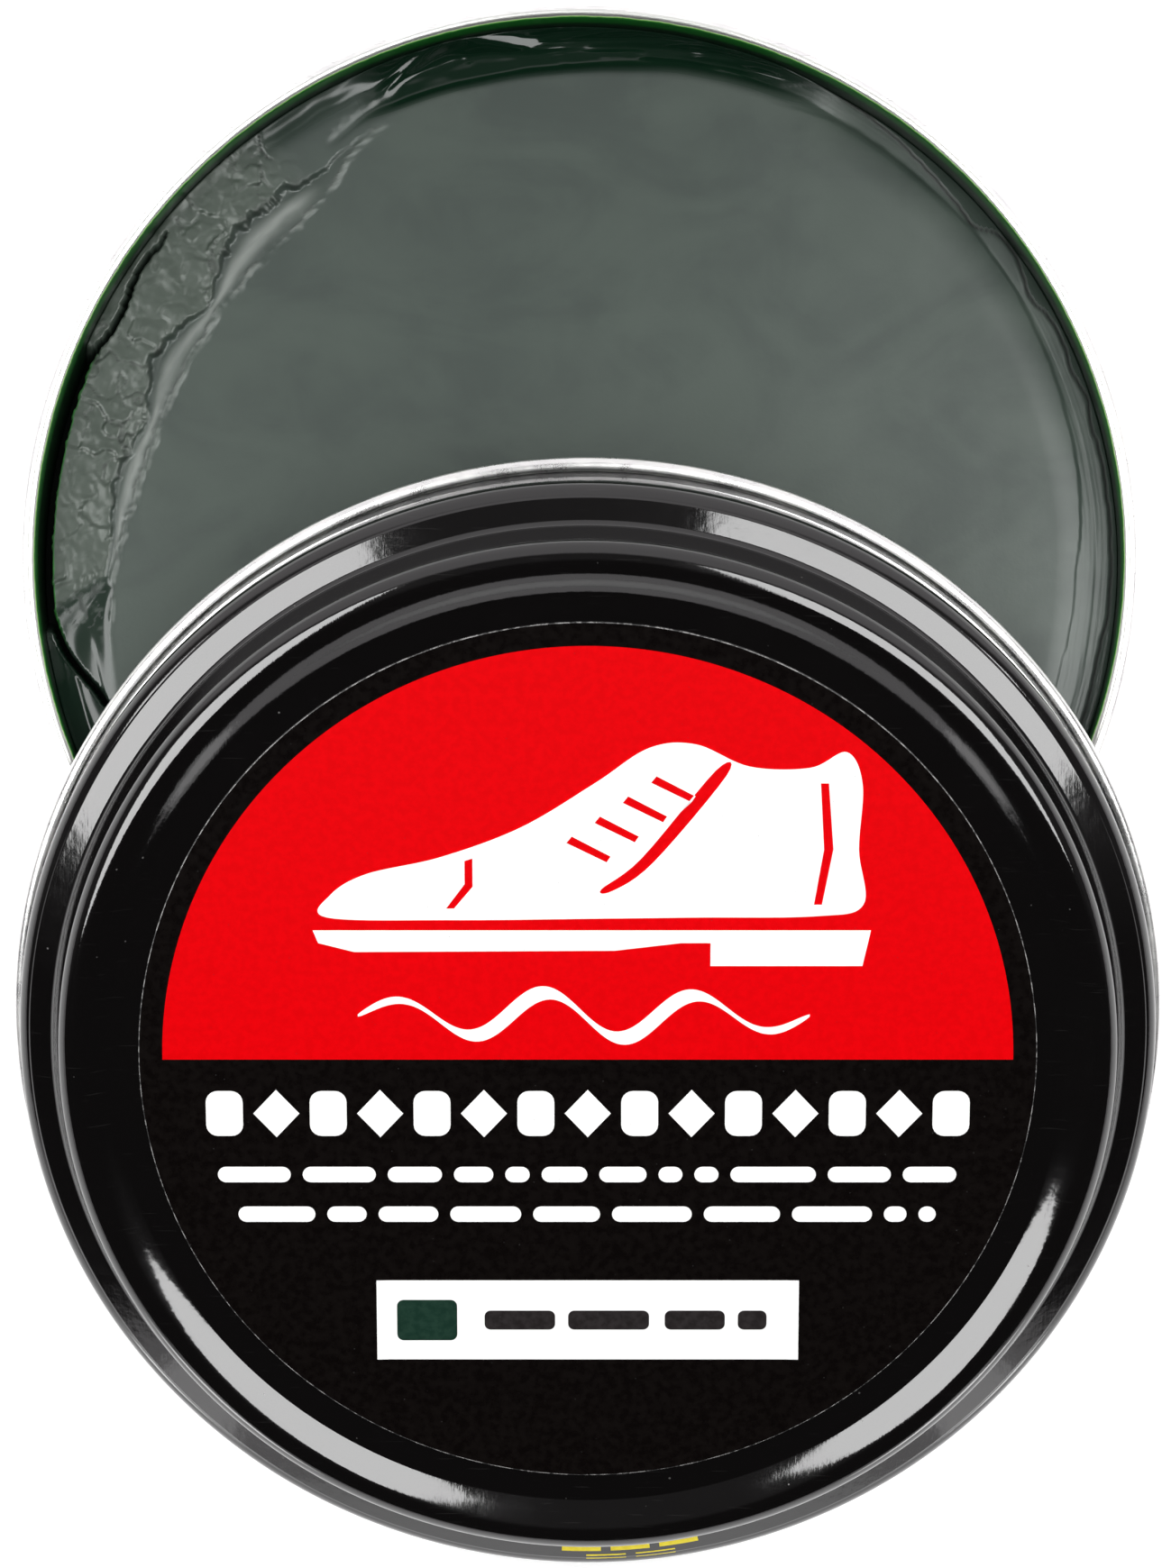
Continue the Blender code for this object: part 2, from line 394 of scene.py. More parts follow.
def lacquer(name, shine=0.5, matt=0.0):
    """Black lacquer over rolled tinplate: faint grain, orange peel, dust and hairline scratches."""
    material, tree, shader = new_material(name)
    peel = noise(tree, None, 1100.0, 3.0, 0.5)
    grain = noise(tree, coords(tree, (7000.0, 500.0, 3000.0)), 1.0, 2.0, 0.6)
    dust = specks(tree, 420.0, 0.045)
    smear = noise(tree, None, 120.0, 4.0, 0.6)
    hair = noise(tree, coords(tree, (240.0, 9000.0, 400.0), (0.0, 0.0, 0.9)), 1.0, 2.0, 0.5)
    scratch = spread(tree, hair, 0.69, 0.74)
    marks = calc(tree, "MAXIMUM", dust, mul(tree, scratch, 0.12))
    tone = blend_colour(tree, marks, (0.0016, 0.0013, 0.0013), (0.060, 0.058, 0.056))
    rough = spread(tree, smear, 0.35, 0.7, 0.055 + matt, 0.11 + matt)
    rough = add(tree, rough, mul(tree, marks, 0.25))
    shader.inputs["IOR"].default_value = 1.54
    shader.inputs["Specular IOR Level"].default_value = shine
    shader.inputs["Coat Weight"].default_value = 0.6 * shine
    shader.inputs["Coat Roughness"].default_value = 0.05
    normal = relief(tree, grain, 0.0000045, 0.5)
    dress(tree, shader, tone, rough, relief(tree, peel, 0.000018, 0.5, normal))
    return material


def ink(name, colour, worn, rough=0.14, shine=0.18):
    """A printed colour on the label's film: slight mottle, tiny pinholes and a satin skin."""
    material, tree, shader = new_material(name)
    mottle = noise(tree, None, 1500.0, 4.0, 0.6)
    holes = specks(tree, 900.0, 0.05)
    tone = blend_colour(tree, spread(tree, mottle, 0.35, 0.65), colour, worn)
    tone = blend_colour(tree, mul(tree, holes, 0.35), tone, (0.08, 0.08, 0.08))
    shader.inputs["Specular IOR Level"].default_value = shine
    skin = spread(tree, mottle, 0.3, 0.7, rough, rough + 0.05)
    dress(tree, shader, tone, skin, relief(tree, mottle, 0.000004, 0.3))
    return material


def painted_edge_highlight():
    """The label's rounded edge: a light grey painted highlight along it, broken up by noise into a dotted
    line.
    """
    material, tree, shader = new_material("label_edge_painted_highlight")
    broken = noise(tree, None, 1300.0, 5.0, 0.7)
    # painted highlight: light grey along the edge, near black where the noise breaks it up
    tone = blend_colour(tree, spread(tree, broken, 0.44, 0.60), (0.015, 0.015, 0.015), (0.27, 0.265, 0.26))
    dress(tree, shader, tone, spread(tree, broken, 0.3, 0.7, 0.35, 0.6))
    return material


def paper():
    """White sticker paper with fine fibres."""
    material, tree, shader = new_material("white_paper")
    fibre = noise(tree, coords(tree, (3200.0, 1500.0, 3000.0), (0.0, 0.0, 0.3)), 1.0, 5.0, 0.65)
    cloud = noise(tree, None, 700.0, 3.0, 0.5)
    tone = blend_colour(tree, cloud, (0.83, 0.83, 0.83), (0.90, 0.90, 0.89))
    rough = spread(tree, fibre, 0.3, 0.7, 0.50, 0.62)
    dress(tree, shader, tone, rough, relief(tree, fibre, 0.000012, 0.5))
    return material


def wax():
    """Dark green wax: satin and cloudy on the flat, deep and glossy where it ran, lighter where it tore.
    It also carries painted sheen in the scoops, painted highlight on the torn ridge, painted shade in cracks
    and under overhangs, and a painted green glow along the split's lip.
    """
    material, tree, shader = new_material("green_wax")
    names = ("wet", "torn", "crumbs_and_highlight", "gloss", "lip", "painted_shade", "scoop_sheen")
    wet, torn, crumbs_and_highlight, gloss, lip, painted_shade, scoop_sheen = (attribute(tree, name) for name in names)
    smoke = noise(tree, coords(tree, (1.0, 1.6, 1.0), (0.0, 0.0, 0.5)), 62.0, 4.0, 0.5, 1.1)
    cloud = noise(tree, None, 190.0, 5.0, 0.55, 0.5)
    micro = noise(tree, None, 2600.0, 4.0, 0.6)
    mottle = add(tree, mul(tree, smoke, 0.72), mul(tree, cloud, 0.28))
    cloudy = spread(tree, mottle, 0.34, 0.64)
    tone = blend_colour(tree, cloudy, (0.026, 0.037, 0.031), (0.045, 0.060, 0.050))
    for share, colour in (
        (torn, (0.043, 0.057, 0.045)),
        # painted sheen on the scoops' floors
        (scoop_sheen, (0.205, 0.225, 0.208)),
        (wet, (0.0028, 0.0120, 0.0060)),
        # whitish crumbs along the torn ridge, with painted highlight on its top and on the crust's high spots
        (crumbs_and_highlight, (0.155, 0.174, 0.158)),
        # painted glow: light shining through the split's thin wax lip
        (lip, (0.030, 0.190, 0.030)),
        # painted shade: nearly black in the split, in cracks and under overhangs
        (painted_shade, (0.0008, 0.0016, 0.0010)),
    ):
        tone = blend_colour(tree, share, tone, colour)
    rough = spread(tree, mottle, 0.35, 0.65, 0.37, 0.31)
    for share, value in ((gloss, 0.30), (wet, 0.12), (painted_shade, 0.75)):
        rough = blend_value(tree, share, rough, value)
    rough = add(tree, rough, mul(tree, crumbs_and_highlight, 0.3))
    shader.inputs["Specular IOR Level"].default_value = 0.33
    skin = blend_value(tree, wet, micro, 0.5)
    dress(tree, shader, tone, rough, relief(tree, skin, 0.00002, 0.35))
    return material


def floor_material():
    """A white light table: matt, faintly cloudy, and glowing a little so that it stays white."""
    material, tree, shader = new_material("pale_floor")
    source = tree.nodes.new("ShaderNodeTexCoord")
    cloud = noise(tree, source.outputs["Object"], 6.0, 2.0, 0.5)
    dress(tree, shader, blend_colour(tree, cloud, (0.90, 0.90, 0.90), (0.92, 0.92, 0.92)), 0.9)
    shader.inputs["Specular IOR Level"].default_value = 0.0
    shader.inputs["Emission Color"].default_value = (1.0, 1.0, 1.0, 1.0)
    shader.inputs["Emission Strength"].default_value = 0.30
    return material


# ---------------- the can
CAN_CURL = 0.58 * MM       # radius of the rolled rim
CAN_OPENING_R = CAN_RIM_R - 2.0 * CAN_CURL


def build_can(rim, outside, inside):
    """Floor with a stiffening bead, plain wall, rim rolled outwards and down."""
    outer_r = CAN_OPENING_R + SHEET
    curl_r = CAN_RIM_R - CAN_CURL
    curl_z = CAN_HEIGHT - CAN_CURL
    corner = 1.6 * MM
    corner_r = outer_r - corner
    bead_r = 36.6 * MM
    bead_rise = 0.5 * MM

    def bead(base, direction):
        found = []
        for share in np.linspace(-1.0, 1.0, 13)[::direction]:
            rise = bead_rise * 0.5 * (1.0 + math.cos(math.pi * share))
            found.append((bead_r + share * 1.0 * MM, base + rise))
        return found

    stretches = [
        (bead(SHEET, 1), 1),
        (arc(corner_r, corner, corner - SHEET, -90.0, 0.0, 8), 1),
        (arc(curl_r, curl_z, CAN_CURL, 180.0, 96.0, 14), 1),
        (arc(curl_r, curl_z, CAN_CURL, 90.0, -105.0, 24), 0),
        (arc(curl_r, curl_z, CAN_CURL - SHEET, -105.0, -180.0, 8), 2),
        (arc(corner_r, corner, corner, 0.0, -90.0, 12), 2),
        (bead(0.0, -1), 2),
        ([(0.0, 0.0)], 2),
    ]
    profile = [(0.0, SHEET)]
    slots = [1]
    for line, slot in stretches:
        profile += line
        slots += [slot] * len(line)
    can = lathe("can", profile, [rim, inside, outside], slots)
    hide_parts("base_can")
    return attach(can, "can")


# ---------------- the wax
def around(turn, table):
    """Reads a value round the can from a few (angle, value) pairs, slightly rounded.

    0 is near, 90 right, 180 far, 270 left.
    """
    angles, values = zip(*table)
    near = [np.interp(turn + away, angles, values, period=360.0) for away in (-1.0, -0.5, 0.0, 0.5, 1.0)]
    return np.mean(near, axis=0)


def between(turn, start, full, last, end):
    return step(start, full, turn) * (1.0 - step(last, end, turn))


# radii in mm against the angle round the can in degrees
SET_EDGE = [
    (0, 38.3), (60, 38.3), (77, 38.3), (88, 38.5), (93, 39.0), (98, 39.3), (110, 39.6), (124, 40.1),
    (148, 40.1), (156, 39.0), (160, 38.8), (169, 38.5), (178, 38.05), (186, 37.8), (207, 37.7),
    (212, 38.3), (300, 38.3),
]
CHIP_LINE = [
    (60, 41.2), (79, 40.9), (84, 41.3), (103, 41.35), (104.5, 41.0), (107, 41.6), (110, 41.2),
    (111, 40.9), (113, 41.35), (116, 41.4), (119, 41.0), (120.3, 40.3), (121, 41.2), (122.4, 40.9),
    (124.5, 41.7), (128.6, 41.5), (129.9, 40.2), (131, 40.5), (137, 40.9), (146, 41.6), (152, 41.9),
    (154.6, 41.5), (156.8, 40.3),
]
TEAR_LIP = [
    (205, 37.4), (209.8, 36.5), (212, 35.6), (215, 34.7), (219, 34.2), (225, 34.1), (232, 34.1),
    (236, 34.4), (238, 34.0), (247, 34.2), (253, 34.4), (259, 34.6), (264, 35.1), (268.5, 35.7),
    (272.5, 36.3), (281, 37.2), (292, 38.4),
]
TEAR_BACK = [
    (205, 37.5), (210, 37.0), (214, 36.5), (217, 36.9), (219, 37.3), (226, 37.35), (230, 36.7),
    (232.5, 35.8), (234.8, 35.0), (236.5, 35.0), (239, 35.9), (244, 36.8), (248, 36.3), (251.5, 35.3),
    (253, 35.3), (256, 36.0), (260, 36.6), (264, 36.5), (268, 36.2), (272, 36.7), (292, 38.6),
]
SPLIT_LINE = [
    (229, 42.0), (232.9, 40.8), (235.7, 41.25), (238, 41.0), (241.3, 40.55), (244, 40.5), (247, 41.1),
    (249, 41.3), (277, 41.25), (280.7, 40.5), (284, 39.3), (288, 38.2), (294, 36.4), (302, 34.6),
]
SPLIT_HALF = [
    (231.5, 0.0), (233.5, 0.10), (240, 0.16), (247, 0.16), (250, 0.26), (275, 0.26), (281, 0.20),
    (288, 0.20), (300, 0.05), (303, 0.0),
]
FAR_RIDGE = [(180, 40.9), (187, 40.9), (190, 41.3), (194, 41.9), (197, 41.4), (199.5, 40.8), (203, 39.9)]
FAR_STEP = [(180, 40.4), (187, 40.5), (191, 41.0), (194, 41.2)]
WAX_OUT_R = CAN_OPENING_R / MM - 0.04
SPLIT_DEPTH = 3.2          # how deep the cake has shrunk away from the wall


def plain_rim(r, turn):
    """Right side: a rounded shoulder, a thin set line, a smooth strip and conchoidal chips along the wall."""
    edge = around(turn, SET_EDGE) + 0.06 * ripple(turn, 3.0, 21, 3)
    out = r - edge
    here = 1.0 - step(156.0, 157.5, turn)
    shoulder = -0.045 * np.clip(r - 36.9, 0.0, 3.3) ** 2
    set_line = -0.09 * step(-0.03, 0.05, out) * (1.0 - step(0.2, 1.6, out)) * step(20.0, 60.0, turn)
    scratches = 0.012 * np.sin(r * 17.0 + 2.5 * ripple(turn, 9.0, 12, 2))
    scratches *= step(-0.4, 0.4, out) * here
    chip = around(turn, CHIP_LINE) + 0.05 * ripple(turn, 0.9, 33, 3)
    beyond = r - chip
    crack = -0.12 * bump_at(beyond, 0.02, 0.12) - 0.07 * step(0.0, 0.2, beyond)
    scoop = -0.16 * between(turn, 131.0, 137.0, 150.0, 156.0)
    scoop *= step(39.6, 40.3, r) * (1.0 - step(-0.2, 0.1, beyond))
    return shoulder + set_line + scratches + (crack + scoop) * here, beyond * here


def far_trough(r, turn):
    """Far side: the wax ran and set deep and glossy, crisp along the flat and lumpy along the wall."""
    edge = around(turn, SET_EDGE) + 0.05 * ripple(turn, 6.0, 23, 2)
    out = r - edge
    soft = 1.25 + 0.95 * (1.0 - step(160.0, 184.0, turn))
    u = np.clip(out / 4.0, 0.0, 1.0)
    z = -0.42 * step(0.0, soft, out) - 0.10 * np.sin(math.pi * u)
    z += 0.95 * np.clip((r - 40.3) / 1.5, 0.0, 1.0) ** 1.7
    first = around(turn, FAR_RIDGE)
    second = around(turn, FAR_STEP)
    z += 0.42 * bump_at(r - first, 0.0, 0.42) * between(turn, 184.0, 188.0, 201.0, 204.0)
    z += 0.26 * bump_at(r - second, 0.0, 0.30) * between(turn, 180.0, 185.0, 191.0, 195.0)
    z += 0.10 * fractal(turn / 4.0, r / 1.2, 27, 2) * step(0.8, 2.0, out)
    z += 0.05 * np.sin(r * 9.0 + turn * 0.6) * between(turn, 150.0, 160.0, 184.0, 188.0) * step(39.4, 40.4, r)
    for middle, low_r, sway in ((192.3, 37.4, 0.12), (181.7, 38.9, 0.10), (177.1, 38.6, 0.35)):
        line = middle + sway * np.sin(r * 1.9)
        z -= 0.07 * bump_at(turn, line, 0.09) * step(low_r, low_r + 0.3, r)
    return z, out, soft


def torn_band(r, turn, x, y):
    """Left side: ragged lip, smooth lens-shaped scoops behind it, then a matte crust with thin cracks."""
    rough = fractal(x / 0.7, y / 0.7, 51, 4)
    layered = fractal(turn / 2.6, r / 0.16, 55, 3)
    lip = around(turn, TEAR_LIP)
    back = np.maximum(around(turn, TEAR_BACK), lip + 0.2)
    across = np.clip((r - lip) / (back - lip), -0.5, 1.5)
    s = r - lip - 0.14 * ripple(turn, 1.4, 41, 4)
    ragged = across + 0.11 * ripple(turn, 1.7, 43, 3) + 0.09 * rough
    size = np.clip(back - lip, 0.0, 3.0)
    floor_line = np.clip(across / 0.80, 0.0, 1.0)
    scoop = -0.20 * size * (0.25 * floor_line + 0.75 * floor_line ** 2) * (1.0 - step(0.84, 1.06, ragged))
    ridge = (0.07 + 0.05 * rough + 0.08 * layered) * bump_at(s, -0.10, 0.26)
    crust_on = step(0.86, 1.10, ragged)
    bent_x = x / 2.6 + 0.5 * fractal(x / 1.6, y / 1.6, 62, 2)
    bent_y = y / 2.6 + 0.5 * fractal(x / 1.6, y / 1.6, 63, 2)
    cells, lean = plates(bent_x, bent_y, 61)
    small, small_lean = plates(bent_x * 2.3, bent_y * 2.3, 67)
    matte = between(turn, 214.0, 221.0, 400.0, 401.0)
    some = step(0.38, 0.50, 0.5 + 0.5 * fractal(x / 4.0, y / 4.0, 71, 2))
    thin_crack = (1.0 - step(0.0, 0.090, cells)) * some * matte
    cracks = -0.05 * thin_crack
    bumps = 0.050 * fractal(x / 1.7, y / 2.6, 81, 4) + 0.020 * rough
    bumps += 0.40 * lean + 0.16 * small_lean * step(0.0, 0.2, small)
    smooth_lines = 0.020 * np.sin(r * 8.5 + 2.0 * ripple(turn, 5.0, 85, 2)) * step(39.4, 40.2, r)
    crust = crust_on * (0.06 + matte * bumps + cracks + (1.0 - matte) * smooth_lines)
    strip_line = r - around(turn, [(200, 39.9), (204, 39.5), (211.5, 38.4)])
    sliver = 0.04 * rough * bump_at(strip_line, 0.15, 0.30) - 0.18 * bump_at(strip_line, -0.55, 0.42)
    sliver *= between(turn, 202.0, 204.0, 209.5, 211.8)
    pits = -0.12 * bump_at(turn, 233.5, 1.5) * bump_at(r, 36.5, 0.35) * step(0.0, 0.6, 0.5 + 0.6 * rough)
    hair = bump_at(turn, 217.4 + 0.5 * np.sin(r * 1.6), 0.09) * step(39.3, 39.7, r)
    # Cracks and the hairline, coloured nearly black later as painted shade.
    dark = np.maximum(0.55 * thin_crack * crust_on, hair)
    z = scoop + ridge + crust + sliver + pits - 0.14 * hair
    return z, s, across, crust_on * matte, rough, layered, dark


def folded_flap(r, turn):
    """Where the tear ends the wax twisted into a glossy flap with streaks that fan out from one point."""
    along = np.radians(turn - 272.6) * r
    up = r - 36.0
    angle = np.degrees(np.arctan2(up, along))
    reach = np.hypot(along, up)
    left_edge = step(-0.55, 0.55, along - 0.62 * (up - 0.4) * step(0.0, 0.5, up) + 0.4)
    on = left_edge * step(8.0, 14.0, angle) * (1.0 - step(88.0, 96.0, angle)) * step(0.3, 0.9, reach)
    on *= 1.0 - step(9.0, 12.0, reach)
    fan = 0.06 * np.sin(np.radians(angle) * 9.0 + 0.3 * reach)
    fan += 0.012 * np.sin(np.radians(angle) * 23.0 + reach)
    slope = -0.03 * up
    return (fan * step(0.4, 3.0, reach) + slope) * on, on


def wall_split(r, turn):
    """Left side: where the cake has shrunk from the wall, where it only sank, and the split's lip, which
    carries a painted green glow.
    """
    middle = around(turn, SPLIT_LINE) + 0.05 * ripple(turn, 1.1, 101, 3)
    half = around(turn, SPLIT_HALF)
    open_here = (half > 0.02) * (1.0 - step(half - 0.03, half + 0.09, np.abs(r - middle)))
    outside = (r > middle) * (half > 0.02)
    wall_side = outside * (1.0 - step(276.5, 278.5, turn)) * step(246.5, 248.5, turn)
    sunk = outside * between(turn, 277.0, 280.0, 290.0, 303.0)
    # Painted glow along the split's thin lip, standing in for light shining through the thin wax.
    lip = bump_at(r - (middle - half), -0.10, 0.12) * between(turn, 246.0, 250.0, 276.0, 281.0)
    return np.maximum(open_here, wall_side), sunk, lip


def wax_surface(r, turn):
    """Height over the flat middle and the look of the wax, both from radius (mm) and angle (degrees)."""
    a = np.radians(turn)
    x, y = r * np.sin(a), -r * np.cos(a)
    tear = between(turn, 201.0, 209.0, 278.0, 284.0)
    far = between(turn, 148.0, 160.0, 201.0, 209.0)
    plain = np.clip(1.0 - tear - far, 0.0, 1.0)

    waves = 0.035 * fractal(x / 13.0, y / 16.0, 3, 3) + 0.008 * fractal(x / 3.2, y / 5.0, 8, 3)
    plain_z, beyond = plain_rim(r, turn)
    far_z, far_out, soft = far_trough(r, turn)
    tear_z, s, across, crust, rough, layered, dark = torn_band(r, turn, x, y)
    flap_z, flap = folded_flap(r, turn)
    creep = 0.25 * np.clip((r - 40.2) / 1.6, 0.0, 1.0) ** 2 * between(turn, 201.0, 209.0, 228.0, 233.0)
    z = waves + plain * plain_z + far * far_z + tear * (tear_z * (1.0 - flap) + creep) + flap_z

    drop, sunk, lip_glow = wall_split(r, turn)
    z = (z - 0.45 * sunk) * (1.0 - drop) - SPLIT_DEPTH * drop
    keep = 1.0 - drop
    wet = np.maximum.reduce([
        far * step(0.0, 0.6 * soft + 0.1, far_out),
        plain * 0.50 * step(0.0, 0.15, beyond) * (turn < 157.5),
        tear * 0.55 * between(turn, 200.0, 204.0, 214.0, 222.0) * step(39.0, 40.5, r),
        0.75 * flap,
        drop,
        sunk,
    ])
    torn = tear * (1.0 - flap)
    gloss = torn * step(-0.05, 0.1, across) * (1.0 - step(0.85, 1.05, across))
    gloss = np.maximum(gloss, plain * 0.8 * step(36.6, 38.5, r))
    # Painted sheen: a light band across the middle of each scoop's floor, where the light would catch it.
    scoop_sheen = torn * bump_at(across, 0.42, 0.24)
    scoop_sheen *= between(turn, 214.0, 219.0, 268.0, 274.0)
    scoop_sheen *= 0.62 + 0.30 * fractal(turn / 4.5, r / 0.7, 91, 3)
    # Painted shade: dark behind each scoop under the crust's overhang, and a thin dark line just inside the
    # lip.
    behind = bump_at(across, 0.92, 0.14) * (0.35 + 0.5 * rough)
    under_lip = 0.8 * bump_at(s, 0.10, 0.09) * step(0.1, 0.8, 0.45 + 0.6 * layered + 0.3 * rough)
    shade = torn * np.maximum(behind, under_lip)
    # Whitish crumbs along the torn ridge, with painted highlight on the ridge's top, on the crust's high
    # spots and on one fleck.
    crumbs_and_highlight = torn * bump_at(s, -0.12, 0.26) * step(0.1, 0.9, 0.45 + 0.5 * layered + 0.4 * rough)
    crumbs_and_highlight = np.maximum(crumbs_and_highlight, tear * 0.35 * crust * step(0.5, 1.2, rough))
    crumbs_and_highlight = np.maximum(crumbs_and_highlight, 0.9 * bump_at(turn, 245.0, 0.45) * bump_at(r, 40.15, 0.28))
    # Painted shade along the chip line's crack.
    chip_line = plain * bump_at(beyond, 0.02, 0.14) * (turn < 157.0)
    # Painted shade: the split, the cracks, the hairline, the shade behind the scoops and the chip line go
    # nearly black.
    painted_shade = np.maximum(np.maximum(drop, np.maximum(dark, 0.7 * shade) * tear), chip_line)
    look = {
        "wet": wet,
        "gloss": gloss * keep,
        "torn": torn * crust * keep,
        "crumbs_and_highlight": 0.6 * crumbs_and_highlight * keep,
        "lip": lip_glow,
        "scoop_sheen": scoop_sheen * keep,
        "painted_shade": painted_shade,
    }
    return z, {name: np.clip(values, 0.0, 1.0) for name, values in look.items()}


def round_can(radius, a, height):
    """Points at a radius in mm and an angle round the can's axis; 0 is near."""
    return list(np.stack([radius * MM * np.sin(a), -radius * MM * np.cos(a), height], -1).reshape(-1, 3))


def build_wax(material):
    """The cake as one closed mesh: a fine polar top, a plain side and a flat underside."""
    coarse, fine = np.arange(1.5, 30.0, 1.5), np.arange(33.0, WAX_OUT_R, 0.14)
    radii = np.concatenate([coarse, np.arange(30.0, 33.0, 0.4), fine, [WAX_OUT_R]])
    spans = ((0.0, 75.0, 0.9), (75.0, 200.0, 0.45), (200.0, 305.0, 0.22), (305.0, 360.0, 0.9))
    turns = np.concatenate([np.arange(*span) for span in spans])
    count = len(turns)
    rr, tt = np.meshgrid(radii, turns, indexing="ij")
    z, look = wax_surface(rr, tt)
    z *= step(0.0, 12.0, rr)
    a = np.radians(tt)
    low = WAX_LOW.z + 0.05 * MM
    points = [(0.0, 0.0, WAX_TOP)] + round_can(rr, a, WAX_TOP + z * MM)
    foot_high, foot_in = 1.6 * MM, 0.965
    side = ((1.0, WAX_TOP - 4.5 * MM), (1.0, low + foot_high), (foot_in, low))
    for share, height in side:
        points += round_can(WAX_OUT_R * share, a[0], np.full(count, height))
    bottom = len(points)
    points.append((0.0, 0.0, low))
    rings = len(radii) + len(side)
    faces = []
    for j in range(count):
        k = (j + 1) % count
        faces.append((0, 1 + j, 1 + k))
        for i in range(rings - 1):
            first, second = 1 + i * count, 1 + (i + 1) * count
            faces.append((first + j, second + j, second + k, first + k))
        last = 1 + (rings - 1) * count
        faces.append((last + j, bottom, last + k))
    cake = mesh_piece("wax", points, faces, [material], sharp=None)
    for name, values in look.items():
        data = np.zeros(len(points), np.float32)
        data[1:1 + values.size] = values.reshape(-1)
        layer = cake.data.attributes.new(name, "FLOAT", "POINT")
        layer.data.foreach_set("value", data)
    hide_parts("wax_cake")
    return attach(cake, "can")


# ---------------- the lid
def bend(start, slope_from, slope_to, radius, points):
    """Carries an outline on from a point while its slope turns; positive slopes climb outwards."""
    r, z = start
    first = math.radians(slope_from)
    sign = 1.0 if slope_to > slope_from else -1.0
    found = []
    for slope in np.radians(np.linspace(slope_from, slope_to, points))[1:]:
        found.append((r + sign * radius * (math.sin(slope) - math.sin(first)),
                      z + sign * radius * (math.cos(first) - math.cos(slope))))
    return found


def lid_lines():
    """Outside of the lid from the panel's edge to the skirt, as (r, z) points."""
    line = [(PANEL_R - 0.6 * MM, PANEL_Z), (PANEL_R, PANEL_Z)]
    line += bend(line[-1], 0.0, RISE_SOFT, PANEL_FILLET, 6)
    line += bend(line[-1], RISE_SOFT, RISE_STEEP, RISE_R, 6)
    line += bend(line[-1], RISE_STEEP, RISE_SOFT, RISE_R, 6)
    line += bend(line[-1], RISE_SOFT, 0.0, CREST_IN_R, 8)
    line += bend(line[-1], 0.0, -STEP_SLOPE, CREST_OUT_R, 16)
    line += arc(LEDGE_IN_R, LEDGE_IN_Z + FOOT_R, FOOT_R, 184.0, 270.0 - LEDGE_TILT, 12)
    fall = (LEDGE_OUT_R - line[-1][0]) * math.tan(math.radians(LEDGE_TILT))
    line.append((LEDGE_OUT_R, line[-1][1] - fall))
    line += bend(line[-1], -LEDGE_TILT, -CREASE_STEEP, 0.35 * MM, 5)
    line += bend(line[-1], -CREASE_STEEP, -CREASE_SOFT, 0.30 * MM, 5)
    shoulder = (SKIRT_R - line[-1][0]) / (1.0 - math.sin(math.radians(CREASE_SOFT)))
    line += bend(line[-1], -CREASE_SOFT, -90.0, shoulder, 14)
    return line


def build_lid(outside, bare, inside, rubbed):
    """Pressed lid shell: lacquered outside, rubbed matt above the curl, bare at the curl and inside."""
    outer = lid_lines()
    inner = offset_line(outer, SHEET)[::-1]
    profile = [(0.0, PANEL_Z)] + outer + [(SKIRT_R, RUBBED_HIGH)]
    slots = [0] * (len(profile) - 1) + [3]
    for line, slot in (
        ([(SKIRT_R, LACQUER_LOW)], 1),
        (arc(CURL_MIDDLE_R, CURL_R, CURL_R - SHEET, 180.0, 465.0, 16), 1),
        (arc(CURL_MIDDLE_R, CURL_R, CURL_R, 465.0, 180.0, 26), 1),
        (inner, 2),
        ([(0.0, PANEL_Z - SHEET)], 2),
    ):
        profile += line
        slots += [slot] * len(line)

    def wobble(radius, height, turn):
        """Hand-pressed metal is never quite true: a slow wave of a few hundredths of a millimetre."""
        wave = 0.020 * MM * np.sin(3.0 * turn + 0.6) + 0.012 * MM * np.sin(7.0 * turn + 2.0)
        share = np.clip((radius - 36.0 * MM) / (4.0 * MM), 0.0, 1.0)
        share *= np.clip(height / (4.0 * MM), 0.0, 1.0)
        return radius - np.abs(wave) * share, height

    lid = lathe("lid", profile, [outside, bare, inside, rubbed], slots, matrix=LID, wobble=wobble)
    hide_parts("lid_shell")
    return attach(lid, "lid")


# ---------------- label, print, sticker
def build_label(film, edge):
    """The round label: black film with a small rounded edge that carries a painted highlight."""
    round_r = 0.05 * MM
    profile = [(r, LABEL_HIGH) for r in (0.0, LABEL_R - 1.0 * MM, LABEL_R - round_r - 0.02 * MM)]
    slots = [0, 0, 1]
    rounding = arc(LABEL_R - round_r, LABEL_HIGH - round_r, round_r, 90.0, 0.0, 5)
    profile += rounding + [(LABEL_R, LABEL_LOW), (0.0, LABEL_LOW)]
    slots += [1] * len(rounding) + [1, 0]
    label = lathe("label", profile, [film, edge], slots, matrix=LID)
    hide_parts("lid_label")
    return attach(label, "lid")


